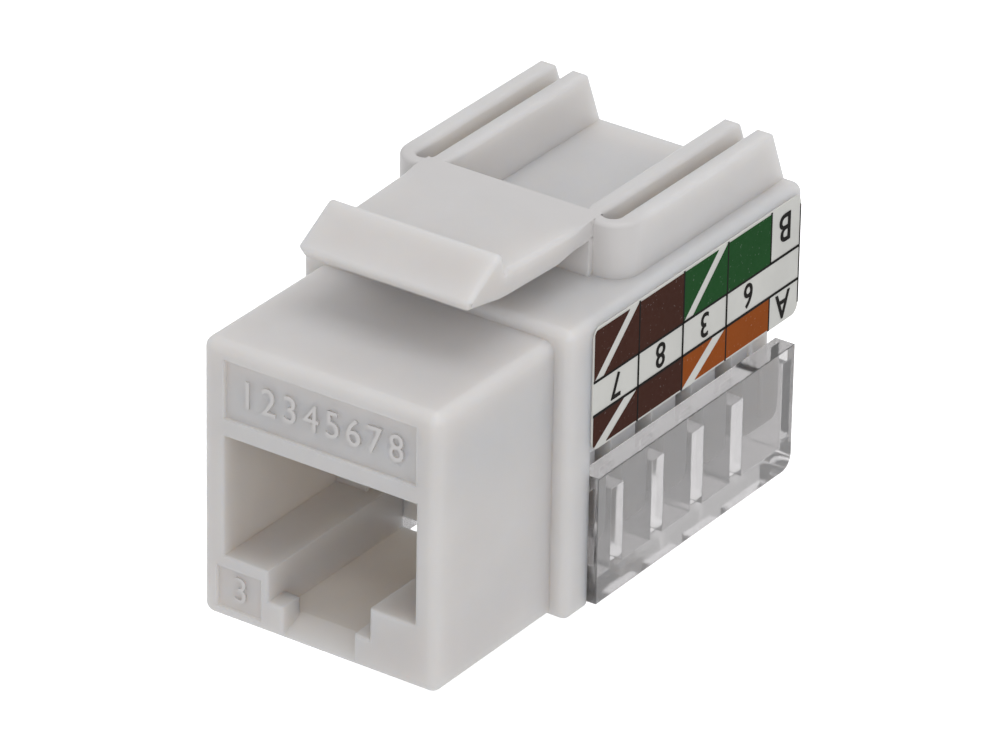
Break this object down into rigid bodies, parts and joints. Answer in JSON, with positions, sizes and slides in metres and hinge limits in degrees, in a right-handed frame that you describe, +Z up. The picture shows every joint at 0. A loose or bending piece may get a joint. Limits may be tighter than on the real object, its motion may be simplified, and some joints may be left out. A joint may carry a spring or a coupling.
{
  "type": "keystone jack",
  "caption": "White snap-in keystone jack with a stepped plug mouth, a latch arm, twin roof rails, clear wire caps and a colour-coded wiring label.",
  "frame": {"origin": "centre of the plug mouth, in the plane of the front face", "axes": "+X to the side that carries the wiring label, +Y from the front face to the rear, +Z up towards the latch arm"},
  "size_m": [0.0174, 0.0308, 0.0216],
  "materials": {
    "housing_white": "satin",
    "cap_clear": "clear",
    "board_green": "solder mask",
    "carrier_cream": "satin",
    "contact_gold": "gold plated",
    "blade_tin": "tin plated",
    "label_white": "printed film",
    "print_brown": "printed",
    "print_green": "printed",
    "print_orange": "printed"
  },
  "bodies": {
    "jack": {"housing": "housing_white", "wire_block": "housing_white", "circuit_board": "board_green", "contact_carrier": "carrier_cream", "spring_contact_1": "contact_gold", "spring_contact_2": "contact_gold", "spring_contact_3": "contact_gold", "spring_contact_4": "contact_gold", "spring_contact_5": "contact_gold", "spring_contact_6": "contact_gold", "spring_contact_7": "contact_gold", "spring_contact_8": "contact_gold", "blade_contact_1": "blade_tin", "blade_contact_2": "blade_tin", "blade_contact_3": "blade_tin", "blade_contact_4": "blade_tin", "blade_contact_5": "blade_tin", "blade_contact_6": "blade_tin", "blade_contact_7": "blade_tin", "blade_contact_8": "blade_tin", "wiring_label": "label_white", "label_brown": "print_brown", "label_green": "print_green", "label_orange": "print_orange"},
    "latch": {"latch_arm": "housing_white"},
    "cap_right": {"wire_cap_right": "cap_clear"},
    "cap_left": {"wire_cap_left": "cap_clear"}
  },
  "joints": [
    {"name": "latch_flex", "type": "hinge", "parent": "jack", "child": "latch", "pos_m": [0, 0.01534, 0.01199], "axis": [1, 0, 0], "range_deg": [0, 10], "stiffness_Nm_per_rad": 0.3},
    {"name": "cap_right_off", "type": "slide", "parent": "jack", "child": "cap_right", "axis": [0, 0, -1], "range_m": [0, 0.008]},
    {"name": "cap_left_off", "type": "slide", "parent": "jack", "child": "cap_left", "axis": [0, 0, -1], "range_m": [0, 0.008]}
  ]
}
